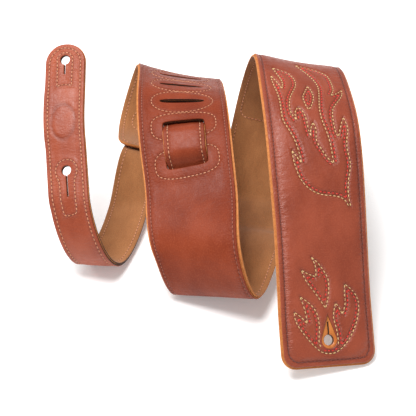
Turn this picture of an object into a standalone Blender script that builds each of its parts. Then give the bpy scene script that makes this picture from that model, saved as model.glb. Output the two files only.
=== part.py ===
"""A padded leather guitar strap, threaded to its adjuster strap and laid down in loose loops.

Both straps are ribbons. A ribbon follows a route in space, and a piece of leather, suede or foam is cut out flat,
as an outline in (along, across), and then laid on the ribbon between two heights above its middle surface.
The leather bends at flex lines, where each layer is parted by a small gap.
"""

import math

import bpy
import numpy as np
from mathutils import Vector
from mathutils.geometry import delaunay_2d_cdt

MM = 0.001

# Driving dimensions, in metres
WIDE_WIDTH = 63.5 * MM
NARROW_WIDTH = 29 * MM
LEATHER = 1.3 * MM
GAP = 0.3 * MM
PAD = 2.6 * MM  # how much the foam lifts the leather
PAD_RAMP = 9 * MM  # how far from its edge the pad reaches its full height
PAD_INSET = 3 * MM
PAD_CORNER = 14 * MM
FOAM_GAP = 0.4 * MM
PATCH_TOP = 1.7 * MM  # above the strap's middle surface
PAD_LENGTH = 305 * MM
FLEX_GAP = 3 * MM
STEP = 9 * MM  # the most between two rows of mesh points along a strap
STEP_BEND = 10  # the most that a strap bends between two rows, in degrees
CORNER = 9.5 * MM  # of the button end
END_CORNER = 9 * MM  # of the slotted end
PIN_RADIUS = 3.4 * MM
SLIT_WIDTH = 1.2 * MM
SLOT_PITCH = 25.5 * MM
SLOT_LENGTH = 31 * MM
SLOT_OPEN_LENGTH = 31.4 * MM
SLOT_CLOSED = 3.4 * MM
SLOT_OPEN = 11 * MM
WEAVE_RUN = 13 * MM  # the length in which the adjuster strap passes through a slot
WEAVE_HEIGHT = 4.3 * MM  # how far its middle surface then lies from the wide strap's
CORNER_STEPS = 5

# Where things are along the straps, from the button end and from the adjuster strap's hidden end
PIN_HOLE, PIN_SLIT = 17 * MM, 8 * MM
REST_FLAT = 385 * MM  # the flat place that the strap rests on
BUTTON_FLEX, CREST_FLEX, BACK_FLEX, FOLD_FLEX, SLOT_FLEX = (x * MM for x in (100, 200, 309, 489, 650))
FIRST_SLOT = 586 * MM
SLOTS = 8
THREADED_SLOTS = (0, 1, 7)
ADJUSTER_START = FIRST_SLOT - 26 * MM
ADJUSTER_DRIFT = 0.45  # how much it slants across the slotted end, to one side
DRIFT_START = 12 * MM
ADJUSTER_BASE_FLEX, ADJUSTER_FOLD_FLEX, ADJUSTER_TIP_FLEX = (x * MM for x in (266, 379, 480))
TIP_HOLE, TIP_SLIT = 12 * MM, 7 * MM  # from the adjuster strap's tip
LOW_HOLE, LOW_SLIT = 93 * MM, 15 * MM

# The middle surface of the wide strap, every 40 mm from the button end (millimetres)
ORIGIN = (-3.2, -31.7, -1.7)
WIDE_ROUTE = (
    (77, -155, 4.5),  # the button end, on the floor in front
    (74.5, -125, 30.5),
    (73, -93.5, 55.5),
    (71, -62, 80),
    (68.5, -28, 100),
    (65.5, 11, 106),  # over the top of the first loop
    (62.5, 49, 96),
    (55.5, 61.5, 59.5),
    (47.5, 48, 23.5),
    (38, 15, 4),
    (27.5, -23.5, 4.5),  # flat on the floor
    (17.5, -61, 10),
    (4.5, -98.5, 11),  # folds up at the front
    (-8, -89.5, 45),
    (-11.5, -52.5, 60),
    (-15.5, -17.5, 77),
    (-18.5, 22, 83),  # over the top of the second loop
    (-20, 60, 73),
    (-25, 92.5, 52),
    (-37, 78.5, 17.5),
    (-36.5, 39, 21.5),  # the slotted end, on the adjuster strap
)
# The direction of the loops' axis along that route: its turn about Z in degrees, and its rise
WIDE_TURN = (14.5, 14, 5, 0, -4.5, -3, -19.5, -19.5, -7, -5.5, 4.5)
WIDE_RISE = (-0.12, -0.15, -0.08, -0.20, -0.02, 0.04, 0.28, 0.16, -0.03, -0.19, -0.32)

# The adjuster strap's last stretch, from the floor to its free tip
ADJUSTER_ROUTE = (
    (-58, -5, 5),
    (-63.5, -34, 3.5),
    (-73.5, -62, 5.5),  # folds up at the front
    (-83.5, -71.5, 26.5),
    (-92, -56.5, 50.5),
    (-95.5, -32.5, 67.5),
    (-98.5, -7.5, 84),
    (-99, 18, 98.5),
    (-99, 43, 115),  # the free tip
)
ADJUSTER_TURN = (-5, -7, -11.5, -17, -16.5, -15.5, -18)
ADJUSTER_RISE = (0.03, 0.04, 0.13, 0.14, 0.05, 0, 0.04)

COLOURS = {
    "russet_leather": ((0.376, 0.080, 0.045), 0.42),
    "tan_suede": ((0.376, 0.156, 0.053), 0.95),
    "tan_leather": ((0.578, 0.223, 0.061), 0.6),
    "foam": ((0.8, 0.78, 0.7), 0.9),
}


def clear_scene():
    for obj in list(bpy.data.objects):
        bpy.data.objects.remove(obj)


def material(slot):
    made = bpy.data.materials.get(slot)
    if made is None:
        colour, roughness = COLOURS[slot]
        made = bpy.data.materials.new(slot)
        made.use_nodes = True
        shader = made.node_tree.nodes["Principled BSDF"]
        shader.inputs["Base Color"].default_value = (*colour, 1)
        shader.inputs["Roughness"].default_value = roughness
        made.diffuse_color = (*colour, 1)
    return made


def smoothstep(x):
    x = np.clip(x, 0, 1)
    return x * x * (3 - 2 * x)


def spline(points, at):
    """A natural cubic spline through the points, read at these numbers of points from the first."""
    points = np.asarray(points, float)
    last = len(points) - 1
    bend = np.zeros_like(points)
    system = np.eye(last + 1)
    for i in range(1, last):
        system[i, i - 1 : i + 2] = 1, 4, 1
        bend[i] = 6 * (points[i + 1] - 2 * points[i] + points[i - 1])
    bend = np.linalg.solve(system, bend)
    i = np.clip(np.floor(at).astype(int), 0, last - 1)
    after = at - i
    if points.ndim > 1:
        after = after[:, None]
    before = 1 - after
    straight = before * points[i] + after * points[i + 1]
    return straight + ((before**3 - before) * bend[i] + (after**3 - after) * bend[i + 1]) / 6


def unit(vectors):
    return vectors / np.linalg.norm(vectors, axis=-1, keepdims=True)


class Ribbon:
    """A strap's middle surface: a centre line with, at each point, the directions across it and out of it."""

    def __init__(self, centre, axis, flats=()):
        self.length = np.concatenate([[0], np.cumsum(np.linalg.norm(np.diff(centre, axis=0), axis=1))])
        along = unit(np.gradient(centre, axis=0))
        across = unit(axis - (axis * along).sum(1, keepdims=True) * along)
        self.columns = np.hstack([centre, along, across])
        self.flats = [(place, self.read(np.array([place]))[0]) for place in flats]

    def read(self, s):
        return np.stack([np.interp(s, self.length, column) for column in self.columns.T], axis=1)

    def stations(self, extra=()):
        """Where the rows of mesh points are: closer together where the strap bends more."""
        s = np.arange(0, self.length[-1], 0.5 * MM)
        along = self.frames(s)[1]
        bend = np.degrees(np.linalg.norm(np.gradient(along, axis=0), axis=1)) / STEP_BEND
        rows = np.cumsum(np.maximum(bend, 0.5 * MM / STEP))
        places = np.interp(np.arange(0.5, rows[-1]), rows, s)
        kept = [x for x in places if not extra or min(abs(x - e) for e in extra) > 2 * MM]
        return np.array(sorted([*kept, *extra]))

    def frames(self, s):
        """Centre, along, across and out at each length; round a pin hole or a resting place it is made flat."""
        rows = self.read(s)
        for place, row in self.flats:
            centre, along = row[:3], row[3:6]
            flat = np.tile(row, (len(s), 1))
            flat[:, :3] = centre + (s - place)[:, None] * along
            share = 1 - smoothstep((np.abs(s - place) - 13 * MM) / (14 * MM))
            rows = rows + share[:, None] * (flat - rows)
        centre, along, across = rows[:, :3], unit(rows[:, 3:6]), unit(rows[:, 6:9])
        return centre, along, across, unit(np.cross(across, along))

    def place(self, s, v, height):
        centre, _, across, out = self.frames(s)
        return centre + v[:, None] * across + height[:, None] * out


def route_lines(route, turn, rise, samples=2000):
    at = np.linspace(0, len(route) - 1, samples)
    centre = (spline(route, at) - ORIGIN) * MM
    knot = at / at[-1] * (len(turn) - 1)
    angle = np.radians(spline(turn, knot))
    axis = np.stack([np.cos(angle), np.sin(angle), spline(rise, knot)], axis=1)
    return centre, axis


def wide_ribbon():
    return Ribbon(*route_lines(WIDE_ROUTE, WIDE_TURN, WIDE_RISE), flats=[PIN_HOLE, REST_FLAT])


def slot_place(number):
    return FIRST_SLOT + number * SLOT_PITCH


def weave(s):
    """Where the adjuster strap lies in the wide strap: 1 outside it, -1 inside, as it goes through the slots."""
    side = -np.ones_like(s)
    for number, turn in zip(THREADED_SLOTS, (2, -2, 2)):
        side = side + turn * smoothstep((s - slot_place(number)) / WEAVE_RUN + 0.5)
    return side


def join(before, after):
    """A smooth curve between two lines, from the last two points of one to the first two of the other."""
    t = np.linspace(0, 1, 30)[1:-1, None]
    start, end = before[-1], after[0]
    reach = np.linalg.norm(end - start)
    leave, arrive = unit(before[1] - before[0]) * reach, unit(after[1] - after[0]) * reach
    bend = smoothstep(t)
    return start + bend * (end - start) + t * (1 - t) ** 2 * leave - t**2 * (1 - t) * arrive


def adjuster_ribbon(wide):
    """It starts inside the wide strap, weaves out, in and out through the slots, and goes on along its own route."""
    s = np.arange(ADJUSTER_START, wide.length[-1] - 4 * MM, 0.5 * MM)
    centre, _, across, out = wide.frames(s)
    past = np.maximum(0, s - slot_place(THREADED_SLOTS[-1]))
    drift = -ADJUSTER_DRIFT * past**2 / (past + DRIFT_START)
    threaded = centre + (weave(s) * WEAVE_HEIGHT)[:, None] * out + drift[:, None] * across
    free, axis = route_lines(ADJUSTER_ROUTE, ADJUSTER_TURN, ADJUSTER_RISE, 400)
    between = join(threaded[-2:], free[:2])
    share = np.linspace(0, 1, len(between))[:, None]
    turning = across[-1] + share * (axis[0] - across[-1])
    return np.vstack([threaded, between, free]), unit(np.vstack([across, turning, axis]))


def pad_height(s, v):
    """How far the foam lifts the leather, at a place on the wide strap."""
    from_side = WIDE_WIDTH / 2 - np.abs(v)
    from_end = np.minimum(s, PAD_LENGTH - s)
    corner = np.hypot(np.maximum(PAD_CORNER - from_side, 0), np.maximum(PAD_CORNER - from_end, 0))
    return PAD * smoothstep((PAD_CORNER - corner - PAD_INSET) / PAD_RAMP)


def flat_height(s, v):
    return np.zeros_like(s)


def arc(centre, radius, start, end, steps):
    angles = np.radians(np.linspace(start, end, steps + 1))
    return [(centre[0] + radius * math.cos(a), centre[1] + radius * math.sin(a)) for a in angles]


def edge(a, b, rows):
    """The points from a to b, b left out: at the rows along the strap, or evenly across it."""
    if abs(a[0] - b[0]) < 1 * MM:
        count = max(1, round(math.dist(a, b) / (STEP * 1.5)))
        return [(a[0], a[1] + (b[1] - a[1]) * i / count) for i in range(count)]
    near = 0.8 * MM
    between = [x for x in rows if min(a[0], b[0]) + near < x < max(a[0], b[0]) - near]
    if a[0] > b[0]:
        between.reverse()
    return [a] + [(x, a[1] + (b[1] - a[1]) * (x - a[0]) / (b[0] - a[0])) for x in between]


def strip(start, end, width, rows, start_corner=0.0, end_corner=0.0):
    """The outline of a straight stretch of strap, with its start or its end rounded."""
    half = width / 2
    corners = []
    if start_corner:
        corners += arc((start + start_corner, -half + start_corner), start_corner, 180, 270, CORNER_STEPS)
    else:
        corners.append((start, -half))
    if end_corner:
        corners += arc((end - end_corner, -half + end_corner), end_corner, -90, 0, CORNER_STEPS)
        corners += arc((end - end_corner, half - end_corner), end_corner, 0, 90, CORNER_STEPS)
    else:
        corners += [(end, -half), (end, half)]
    if start_corner:
        corners += arc((start + start_corner, half - start_corner), start_corner, 90, 180, CORNER_STEPS)
    else:
        corners.append((start, half))
    kept = [p for p, q in zip(corners, corners[1:] + corners[:1]) if math.dist(p, q) > 1e-6]
    path = []
    for a, b in zip(kept, kept[1:] + kept[:1]):
        path += [a] if math.dist(a, b) < STEP / 2 else edge(a, b, rows)
    return path


def keyhole(place, radius, slit, toward=1):
    """A pin hole with a slit along the strap."""
    turn = 0 if toward > 0 else 180
    opening = math.degrees(math.asin(SLIT_WIDTH / 2 / radius))
    hole = arc((place, 0), radius, turn + opening, turn + 360 - opening, 14)
    end = place + toward * (radius + slit)
    side = SLIT_WIDTH / 2 * toward
    return hole + [(end, -side), (end, side)]


def slot(place, opened):
    """A slit across the strap: a thin oval, or a rounded oblong where the adjuster strap holds it open."""
    width, length, square = (SLOT_OPEN, SLOT_OPEN_LENGTH, 6) if opened else (SLOT_CLOSED, SLOT_LENGTH, 3)
    path = []
    for angle in np.radians(np.arange(0, 360, 22.5)):
        along, across = math.cos(angle), math.sin(angle)
        path.append((
            place + math.copysign(abs(along) ** (2 / square), along) * width / 2,
            math.copysign(abs(across) ** (2 / square), across) * length / 2,
        ))
    return path


def teardrop(place, grow=0.0):
    """The window round the button's pin hole, with its point up the strap."""
    radius = 4.6 * MM + grow
    tip = place + 15 * MM + 2 * grow
    lean = math.degrees(math.acos(radius / (tip - place)))
    return [(tip, 0)] + arc((place, 0), radius, lean, 360 - lean, 12)


def inside(points, path):
    """Which of the points lie inside a closed path."""
    x, y = points.T
    found = np.zeros(len(points), bool)
    for (ax, ay), (bx, by) in zip(path, path[1:] + path[:1]):
        if ay != by:
            found ^= ((ay > y) != (by > y)) & (x < (bx - ax) * (y - ay) / (by - ay) + ax)
    return found


def far_from(points, path, distance):
    a = np.array(path)
    b = np.roll(a, -1, axis=0)
    side = b - a
    away = points[:, None] - a
    share = np.clip((away * side).sum(2) / (side * side).sum(1), 0, 1)
    return (np.linalg.norm(away - share[..., None] * side, axis=2) > distance).all(1)


def flat_mesh(outline, holes, rows, columns):
    """Points and triangles of a flat piece, with inner points where the rows and the columns cross."""
    low, high = min(p[0] for p in outline), max(p[0] for p in outline)
    grid = np.array([(x, y) for x in rows if low < x < high for y in columns]).reshape(-1, 2)
    keep = inside(grid, outline)
    keep &= far_from(grid, outline, 0.6 * MM)
    for path in holes:
        keep &= far_from(grid, path, 1.5 * MM)
    for path in holes:
        keep &= ~inside(grid, path)
    points = [Vector(p) for path in [outline, *holes] for p in path] + [Vector(p) for p in grid[keep]]
    edges = []
    first = 0
    for path in [outline, *holes]:
        edges += [(first + i, first + (i + 1) % len(path)) for i in range(len(path))]
        first += len(path)
    verts, _, faces, _, _, _ = delaunay_2d_cdt(points, edges, [], 0, 1e-9)
    verts = np.array([tuple(p) for p in verts])
    faces = np.array([f for f in faces])
    middle = verts[faces].mean(1)
    keep = inside(middle, outline)
    for path in holes:
        keep &= ~inside(middle, path)
    return verts, faces[keep]


def lay_down(name, ribbon, outline, holes, low, high, slot_name, rows, columns):
    """Makes one closed piece: a flat cut laid on the ribbon, from the height low to the height high."""
    verts, faces = flat_mesh(outline, holes, rows, columns)
    used, faces = np.unique(faces, return_inverse=True)
    faces = faces.reshape(-1, 3)
    s, v = verts[used].T
    bottom = ribbon.place(s, v, low(s, v))
    top = ribbon.place(s, v, high(s, v))
    count = len(used)
    ends = np.concatenate([faces[:, [0, 1]], faces[:, [1, 2]], faces[:, [2, 0]]])
    loose = {tuple(e) for e in ends} - {(b, a) for a, b in ends}
    walls = [(a, b, b + count, a + count) for a, b in loose]
    polygons = [tuple(f) for f in faces + count] + [tuple(f[::-1]) for f in faces] + walls
    mesh = bpy.data.meshes.new(name)
    mesh.from_pydata(np.vstack([bottom, top]).tolist(), [], [tuple(map(int, p)) for p in polygons])
    mesh.update()
    obj = bpy.data.objects.new(name, mesh)
    bpy.context.scene.collection.objects.link(obj)
    obj.data.materials.append(material(slot_name))
    close_faces_out(obj)
    return obj


def close_faces_out(obj):
    """Turns the mesh round if its faces point in, and shades it smooth except at its edges."""
    mesh = obj.data
    mesh.calc_loop_triangles()
    corners = [[mesh.vertices[i].co for i in t.vertices] for t in mesh.loop_triangles]
    if sum(a.dot(b.cross(c)) for a, b, c in corners) < 0:
        mesh.flip_normals()
    mesh.shade_smooth()
    mesh.set_sharp_from_angle(angle=math.radians(40))


def level(height, pad=flat_height):
    return lambda s, v: height + pad(s, v)


def pad_steps():
    """How far from the padded stretch's edge the mesh has its rows and columns."""
    return [PAD_INSET + PAD_RAMP * share for share in (0.05, 0.5, 1)]


def wide_columns(*more):
    inner = [WIDE_WIDTH / 2 - x for x in pad_steps()] + list(more)
    return sorted([-x for x in inner] + inner + [0])


def wide_rows(wide):
    return wide.stations(extra=[*pad_steps(), *[PAD_LENGTH - x for x in pad_steps()]])


def wide_slots(start, end):
    """The slots that lie in this stretch of the wide strap."""
    found = []
    for number in range(SLOTS):
        if start < slot_place(number) < end:
            found.append(slot(slot_place(number), number in THREADED_SLOTS))
    return found


def make_wide_strap(wide):
    """Leather outside and suede inside, parted at each flex line."""
    end = wide.length[-1]
    rows = wide_rows(wide)
    stretches = (
        ("button_end", 0, BUTTON_FLEX),
        ("shoulder_front", BUTTON_FLEX, CREST_FLEX),
        ("shoulder_back", CREST_FLEX, BACK_FLEX),
        ("base", BACK_FLEX, FOLD_FLEX),
        ("slotted_front", FOLD_FLEX, SLOT_FLEX),
        ("slotted_end", SLOT_FLEX, end),
    )
    for name, start, stop in stretches:
        first, last = start == 0, stop == end
        a = start if first else start + FLEX_GAP / 2
        b = stop if last else stop - FLEX_GAP / 2
        outline = strip(a, b, WIDE_WIDTH, rows, CORNER * first, END_CORNER * last)
        holes = wide_slots(a, b)
        columns = wide_columns(10 * MM) if first else wide_columns()
        pinned = [keyhole(PIN_HOLE, PIN_RADIUS, PIN_SLIT)] if first else []
        window = [teardrop(PIN_HOLE)] if first else []
        lay_down(f"{name}_leather", wide, outline, holes + window,
                 level(GAP / 2, pad_height), level(GAP / 2 + LEATHER, pad_height),
                 "russet_leather", rows, columns)
        lay_down(f"{name}_suede", wide, outline, holes + pinned,
                 level(-GAP / 2 - LEATHER), level(-GAP / 2), "tan_suede", rows, columns)


def make_foam(wide):
    """The padding between leather and suede, along the first three stretches."""
    rows = wide_rows(wide)
    inset = pad_steps()[1]
    for name, start, stop in (
        ("button_end_foam", inset, BUTTON_FLEX - FLEX_GAP / 2),
        ("shoulder_front_foam", BUTTON_FLEX + FLEX_GAP / 2, CREST_FLEX - FLEX_GAP / 2),
        ("shoulder_back_foam", CREST_FLEX + FLEX_GAP / 2, PAD_LENGTH - inset),
    ):
        corner = 7 * MM if name == "button_end_foam" else 0
        holes = [teardrop(PIN_HOLE, 4 * MM)] if name == "button_end_foam" else []
        columns = wide_columns(10 * MM) if name == "button_end_foam" else wide_columns()
        lay_down(name, wide, strip(start, stop, WIDE_WIDTH - 2 * inset, rows, corner), holes,
                 level(FOAM_GAP), level(-FOAM_GAP, pad_height), "foam", rows, columns[2:-2])


def make_pin_patch(wide):
    """The tan leather that shows in the window and takes the strap button."""
    lay_down("pin_hole_patch", wide, teardrop(PIN_HOLE, 3.2 * MM), [keyhole(PIN_HOLE, PIN_RADIUS, PIN_SLIT)],
             level(GAP / 2), level(PATCH_TOP), "tan_leather", [], [])


def beside_slot_flex(ribbon, wide):
    """Where along the adjuster strap it passes the flex line between the wide strap's slots."""
    s = np.arange(0, 200 * MM, 0.5 * MM)
    away = np.linalg.norm(ribbon.frames(s)[0] - wide.frames(np.array([SLOT_FLEX]))[0], axis=1)
    return float(s[np.argmin(away)])


def adjuster_stretches(ribbon, wide):
    """The narrow strap in five stretches: name, start and stop. The first two are threaded through the wide strap."""
    flexes = (beside_slot_flex(ribbon, wide), ADJUSTER_BASE_FLEX, ADJUSTER_FOLD_FLEX, ADJUSTER_TIP_FLEX)
    names = ("adjuster_bridge", "adjuster_threaded", "adjuster_base", "adjuster_front", "adjuster_tip")
    return list(zip(names, (0, *flexes), (*flexes, ribbon.length[-1])))


def make_adjuster(ribbon, wide):
    end = ribbon.length[-1]
    tip_hole, low_hole = end - TIP_HOLE, end - LOW_HOLE
    half = NARROW_WIDTH / 2
    rows = ribbon.stations()
    for name, start, stop in adjuster_stretches(ribbon, wide):
        first, last = start == 0, stop == end
        a = start if first else start + FLEX_GAP / 2
        b = stop if last else stop - FLEX_GAP / 2
        outline = strip(a, b, NARROW_WIDTH, rows, 3 * MM * first, (half - 0.5 * MM) * last)
        holes = [keyhole(tip_hole, PIN_RADIUS, TIP_SLIT, -1)] if a < tip_hole < b else []
        holes += [keyhole(low_hole, PIN_RADIUS, LOW_SLIT, -1)] if a < low_hole < b else []
        lay_down(f"{name}_leather", ribbon, outline, holes,
                 level(GAP / 2), level(GAP / 2 + LEATHER), "russet_leather", rows, [0])
        lay_down(f"{name}_suede", ribbon, outline, holes,
                 level(-GAP / 2 - LEATHER), level(-GAP / 2), "tan_suede", rows, [0])


def main():
    clear_scene()
    wide = wide_ribbon()
    make_wide_strap(wide)
    make_foam(wide)
    make_pin_patch(wide)
    adjuster = Ribbon(*adjuster_ribbon(wide))
    end = adjuster.length[-1]
    adjuster = Ribbon(*adjuster_ribbon(wide), flats=[end - TIP_HOLE, end - LOW_HOLE])
    make_adjuster(adjuster, wide)


main()
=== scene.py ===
"""Looks for the padded leather guitar strap: sewn leather, suede and thread on a pale floor.

Both straps are ribbons along the same routes as the CAD model. Each piece is cut out flat, in
(along, across) millimetres, and laid on its ribbon. A piece crosses one flex line at most, and is
cut in the middle of a body.
"""

import math

import bpy
import numpy as np
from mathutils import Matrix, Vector
from mathutils.geometry import delaunay_2d_cdt


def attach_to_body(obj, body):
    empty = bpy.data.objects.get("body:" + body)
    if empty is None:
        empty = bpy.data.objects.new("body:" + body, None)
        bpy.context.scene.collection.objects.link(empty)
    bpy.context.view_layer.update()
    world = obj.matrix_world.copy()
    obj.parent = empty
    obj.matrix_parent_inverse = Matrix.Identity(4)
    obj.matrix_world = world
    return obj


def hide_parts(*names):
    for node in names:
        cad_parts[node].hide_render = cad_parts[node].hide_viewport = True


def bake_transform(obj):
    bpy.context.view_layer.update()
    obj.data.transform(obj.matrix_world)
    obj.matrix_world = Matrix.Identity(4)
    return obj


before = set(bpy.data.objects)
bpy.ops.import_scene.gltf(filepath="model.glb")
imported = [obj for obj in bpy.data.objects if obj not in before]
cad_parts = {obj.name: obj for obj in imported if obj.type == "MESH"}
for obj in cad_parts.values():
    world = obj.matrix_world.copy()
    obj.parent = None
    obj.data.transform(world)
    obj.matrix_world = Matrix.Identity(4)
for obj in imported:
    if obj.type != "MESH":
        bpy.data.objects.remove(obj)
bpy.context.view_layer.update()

# Driving dimensions, in millimetres: those of the CAD model, but for a closer fit of the slots
WIDE_WIDTH = 63.5
NARROW_WIDTH = 29
LEATHER = 1.3
GAP = 0.3  # between the leather and its backing
PAD = 2.6  # how far the foam raises the leather
PAD_LENGTH = 305
CORNER = 9.5
END_CORNER = 9
PIN_RADIUS = 3.4
SLIT_WIDTH = 1.0
SLOT_PITCH = 25.5
SLOT_LENGTH = 31
SLOT_OPEN_LENGTH = 28.9
SLOT_CLOSED = 4.6  # width of an empty slot
SLOT_OPEN = 11  # width of a slot with the narrow strap in it
WEAVE_RUN = 13  # length over which the narrow strap passes through a slot
WEAVE_HEIGHT = 4.3
PIN_HOLE, PIN_SLIT = 17, 8
REST_FLAT = 385  # where the wide strap lies flat on the floor
BUTTON_FLEX, CREST_FLEX, BACK_FLEX, FOLD_FLEX, SLOT_FLEX = 100, 200, 309, 489, 650
FIRST_SLOT = 586
SLOTS = 8
THREADED_SLOTS = (0, 1, 7)
ADJUSTER_START = FIRST_SLOT - 26
ADJUSTER_DRIFT = 0.45  # how much the narrow strap turns aside beyond its last slot
DRIFT_START = 12
ADJUSTER_BASE_FLEX, ADJUSTER_FOLD_FLEX, ADJUSTER_TIP_FLEX = 266, 379, 480
TIP_HOLE, TIP_SLIT = 12, 7
LOW_HOLE, LOW_SLIT = 93, 15

# The routes of the CAD model, in millimetres
ORIGIN = (-3.2, -31.7, -1.7)
WIDE_ROUTE = (
    (77, -155, 4.5),
    (74.5, -125, 30.5),
    (73, -93.5, 55.5),
    (71, -62, 80),
    (68.5, -28, 100),
    (65.5, 11, 106),
    (62.5, 49, 96),
    (55.5, 61.5, 59.5),
    (47.5, 48, 23.5),
    (38, 15, 4),
    (27.5, -23.5, 4.5),
    (17.5, -61, 10),
    (4.5, -98.5, 11),
    (-8, -89.5, 45),
    (-11.5, -52.5, 60),
    (-15.5, -17.5, 77),
    (-18.5, 22, 83),
    (-20, 60, 73),
    (-25, 92.5, 52),
    (-37, 78.5, 17.5),
    (-36.5, 39, 21.5),
)
WIDE_TURN = (14.5, 14, 5, 0, -4.5, -3, -19.5, -19.5, -7, -5.5, 4.5)
WIDE_RISE = (-0.12, -0.15, -0.08, -0.20, -0.02, 0.04, 0.28, 0.16, -0.03, -0.19, -0.32)
ADJUSTER_ROUTE = (
    (-58, -5, 5),
    (-63.5, -34, 3.5),
    (-73.5, -62, 5.5),
    (-83.5, -71.5, 26.5),
    (-92, -56.5, 50.5),
    (-95.5, -32.5, 67.5),
    (-98.5, -7.5, 84),
    (-99, 18, 98.5),
    (-99, 43, 115),
)
ADJUSTER_TURN = (-5, -7, -11.5, -17, -16.5, -15.5, -18)
ADJUSTER_RISE = (0.03, 0.04, 0.13, 0.14, 0.05, 0, 0.04)

# Sewing, in millimetres
PAD_SEAM = 4.3  # how far the padding's seam lies from the strap's edge
EDGE_SEAM = 3.6
FLAME_INNER = 1.8  # between the cream outline and the red line inside it
PITCH = 2.8  # from one stitch to the next
STITCH = 2.2
SEWN_SHIFT = {0: -1.8, 1: 1.2}  # the sewn outlines of the first two slots stand a little apart
SEWN_OPEN = (11, 22.3, 3)  # the sewn outline round a threaded slot: half sizes, and how square it is
SEWN_CLOSED = (12.4, 21.5, 2.1)
THREAD_RADIUS = {"dark": 0.4, "cream": 0.31, "red": 0.36, "russet": 0.34, "tan": 0.32}
NARROW_THREAD = 0.34
LOWER_THREAD = 0.36
SAMPLE = 0.8  # how far apart the points of a sewn line are

# Shape of the leather, in millimetres
CREST, SLOT_CREST = 226, 700  # where the strap bends over, furthest from what it lies on
CREST_SAG, CREST_REACH = 2.4, 34
SLOT_CREST_SAG, SLOT_CREST_REACH = 2, 26
PRESSED_FLAT, PRESSED_REACH = 0.7, 40  # share of the padding that is pressed flat over the crest
MARGIN = 1.2  # how far the backing shows past the face leather
NARROW_MARGIN = 0.4
PAD_ROUND = 13  # corner radius of the padding, seen from above
PAD_RISE = 3.6  # how slowly the padding swells from its seam
CROWN = 0.35  # how much the narrow strap rises between its seams
OVAL_PLACE, OVAL_HALF_LENGTH, OVAL_HALF_WIDTH = 58, 12.5, 8.4  # pressed mark, from the narrow strap's tip
WINDOW_RADIUS, WINDOW_TIP = 5.3, 16
PATCH_RADIUS, PATCH_TIP, PATCH_TOP = 6.6, 18.5, 2.2
FINE_END = 200  # the pieces that start before here carry the flames, on a finer mesh

# The flames: strokes from tip to notch, each as (along, across), with the flame's inside on the left
UPPER_FLAME = (
    ((102, 19), (107, 15.5), (109, 9), (109.5, 4), (111, -2), (114.5, -7.5), (119.5, -11.5), (126, -14),
     (133, -15.5), (139.5, -16)),
    ((139.5, -16), (135.5, -13.5), (131, -10.5)),
    ((131, -10.5), (135, -11), (141, -12), (148, -14), (155, -17), (161, -19.5), (169, -20), (177, -20),
     (186, -21), (194, -22.5), (202, -23)),
    ((202, -23), (195, -19.5), (188.5, -17)),
    ((188.5, -17), (196, -16), (204, -18), (212, -21)),
    ((212, -21), (208.5, -11), (201, -7), (193, -7), (185.5, -10), (178, -13), (170.5, -14), (165, -13),
     (161, -10.5)),
    ((161, -10.5), (166.5, -11), (171, -8.5)),
    ((171, -8.5), (167.5, -5.5), (160.5, -4), (154, -3.5), (149, -2.5)),
    ((149, -2.5), (154, -2), (159, 0)),
    ((159, 0), (153.5, 1.5), (146.5, 1), (140.5, 3.5), (134.5, 7), (130.5, 11)),
    ((130.5, 11), (137, 10.5), (143.5, 10), (152, 8.5), (160.5, 6.5), (170, 6), (181.5, 7.5), (192.5, 8.5),
     (202, 7), (212, 3), (224, -3)),
    ((224, -3), (219, 9), (213, 16), (206.5, 18.5), (196.5, 19), (189.5, 18.5), (183.5, 16)),
    ((183.5, 16), (186, 20.5), (191, 24.5)),
    ((191, 24.5), (185.5, 24), (177.5, 20), (170.5, 15.5), (163.5, 14), (157, 14), (151.5, 14.5),
     (148.5, 16)),
    ((148.5, 16), (156.5, 18.5), (163, 21)),
    ((163, 21), (155.5, 23), (149, 22), (141, 21), (134, 22), (127.5, 22), (121, 20.5), (114.5, 19.5),
     (108, 19.5), (102, 20.5)),
)
LEAF = (
    ((193, 1), (188, 3), (181, 3.5), (174, 1.5), (169.5, -1)),
    ((169.5, -1), (171.5, -2.5), (176.5, -3.5), (181.5, -3.5), (187.5, -1), (193, 1)),
)
SMALL_FLAME = (
    ((69.5, -9), (66, -5), (61.5, -1.5), (56, 1.5), (50, 2), (43.5, 1), (37, -1)),
    ((37, -1), (41.5, -4), (46.5, -7.5), (51, -11), (55.5, -14), (61, -16)),
    ((61, -16), (58.5, -11.5), (57, -6.5)),
    ((57, -6.5), (63.5, -6.5), (69.5, -9)),
)
LOWER_FLAME = (
    ((13.5, 6), (19.5, 6), (25.5, 5), (30.5, 4), (35, 4.5), (40, 6)),
    ((40, 6), (36.5, 8.5), (32.5, 10)),
    ((32.5, 10), (39.5, 12.5), (46, 12.5), (52, 13)),
    ((52, 13), (48.5, 17.5), (43.5, 21), (37, 22), (30, 20.5), (24, 18), (17.5, 14), (12.5, 9.5), (9, 4),
     (8.5, -0.5), (9.5, -5), (12, -8.5), (15.5, -12), (20, -15.5), (25, -19), (30.5, -21.5), (35.5, -22)),
    ((35.5, -22), (32, -17.5), (28, -14)),
    ((28, -14), (36, -15), (44.5, -18)),
    ((44.5, -18), (41.5, -13.5), (38.5, -10), (35, -7.5), (31.5, -6.5), (26.5, -6), (21.5, -6.5),
     (16.5, -7), (12.5, -6)),
)

# One side of the sewn outlines round the narrow strap's holes, from the hole's centre
TIP_OUTLINE = ((5.2, 0), (4.6, 2.8), (2, 5.2), (-4, 5.4), (-17.6, 5.2), (-18.9, 3.6))
LOW_OUTLINE = ((7.6, 0), (6.3, 4.4), (2.2, 7.4), (-2.8, 7.2), (-7, 5.6), (-14, 5.2), (-27, 5), (-30.6, 2.6))


def smoothstep(x):
    x = np.clip(x, 0, 1)
    return x * x * (3 - 2 * x)


def unit(vectors):
    return vectors / np.linalg.norm(vectors, axis=-1, keepdims=True)


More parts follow.
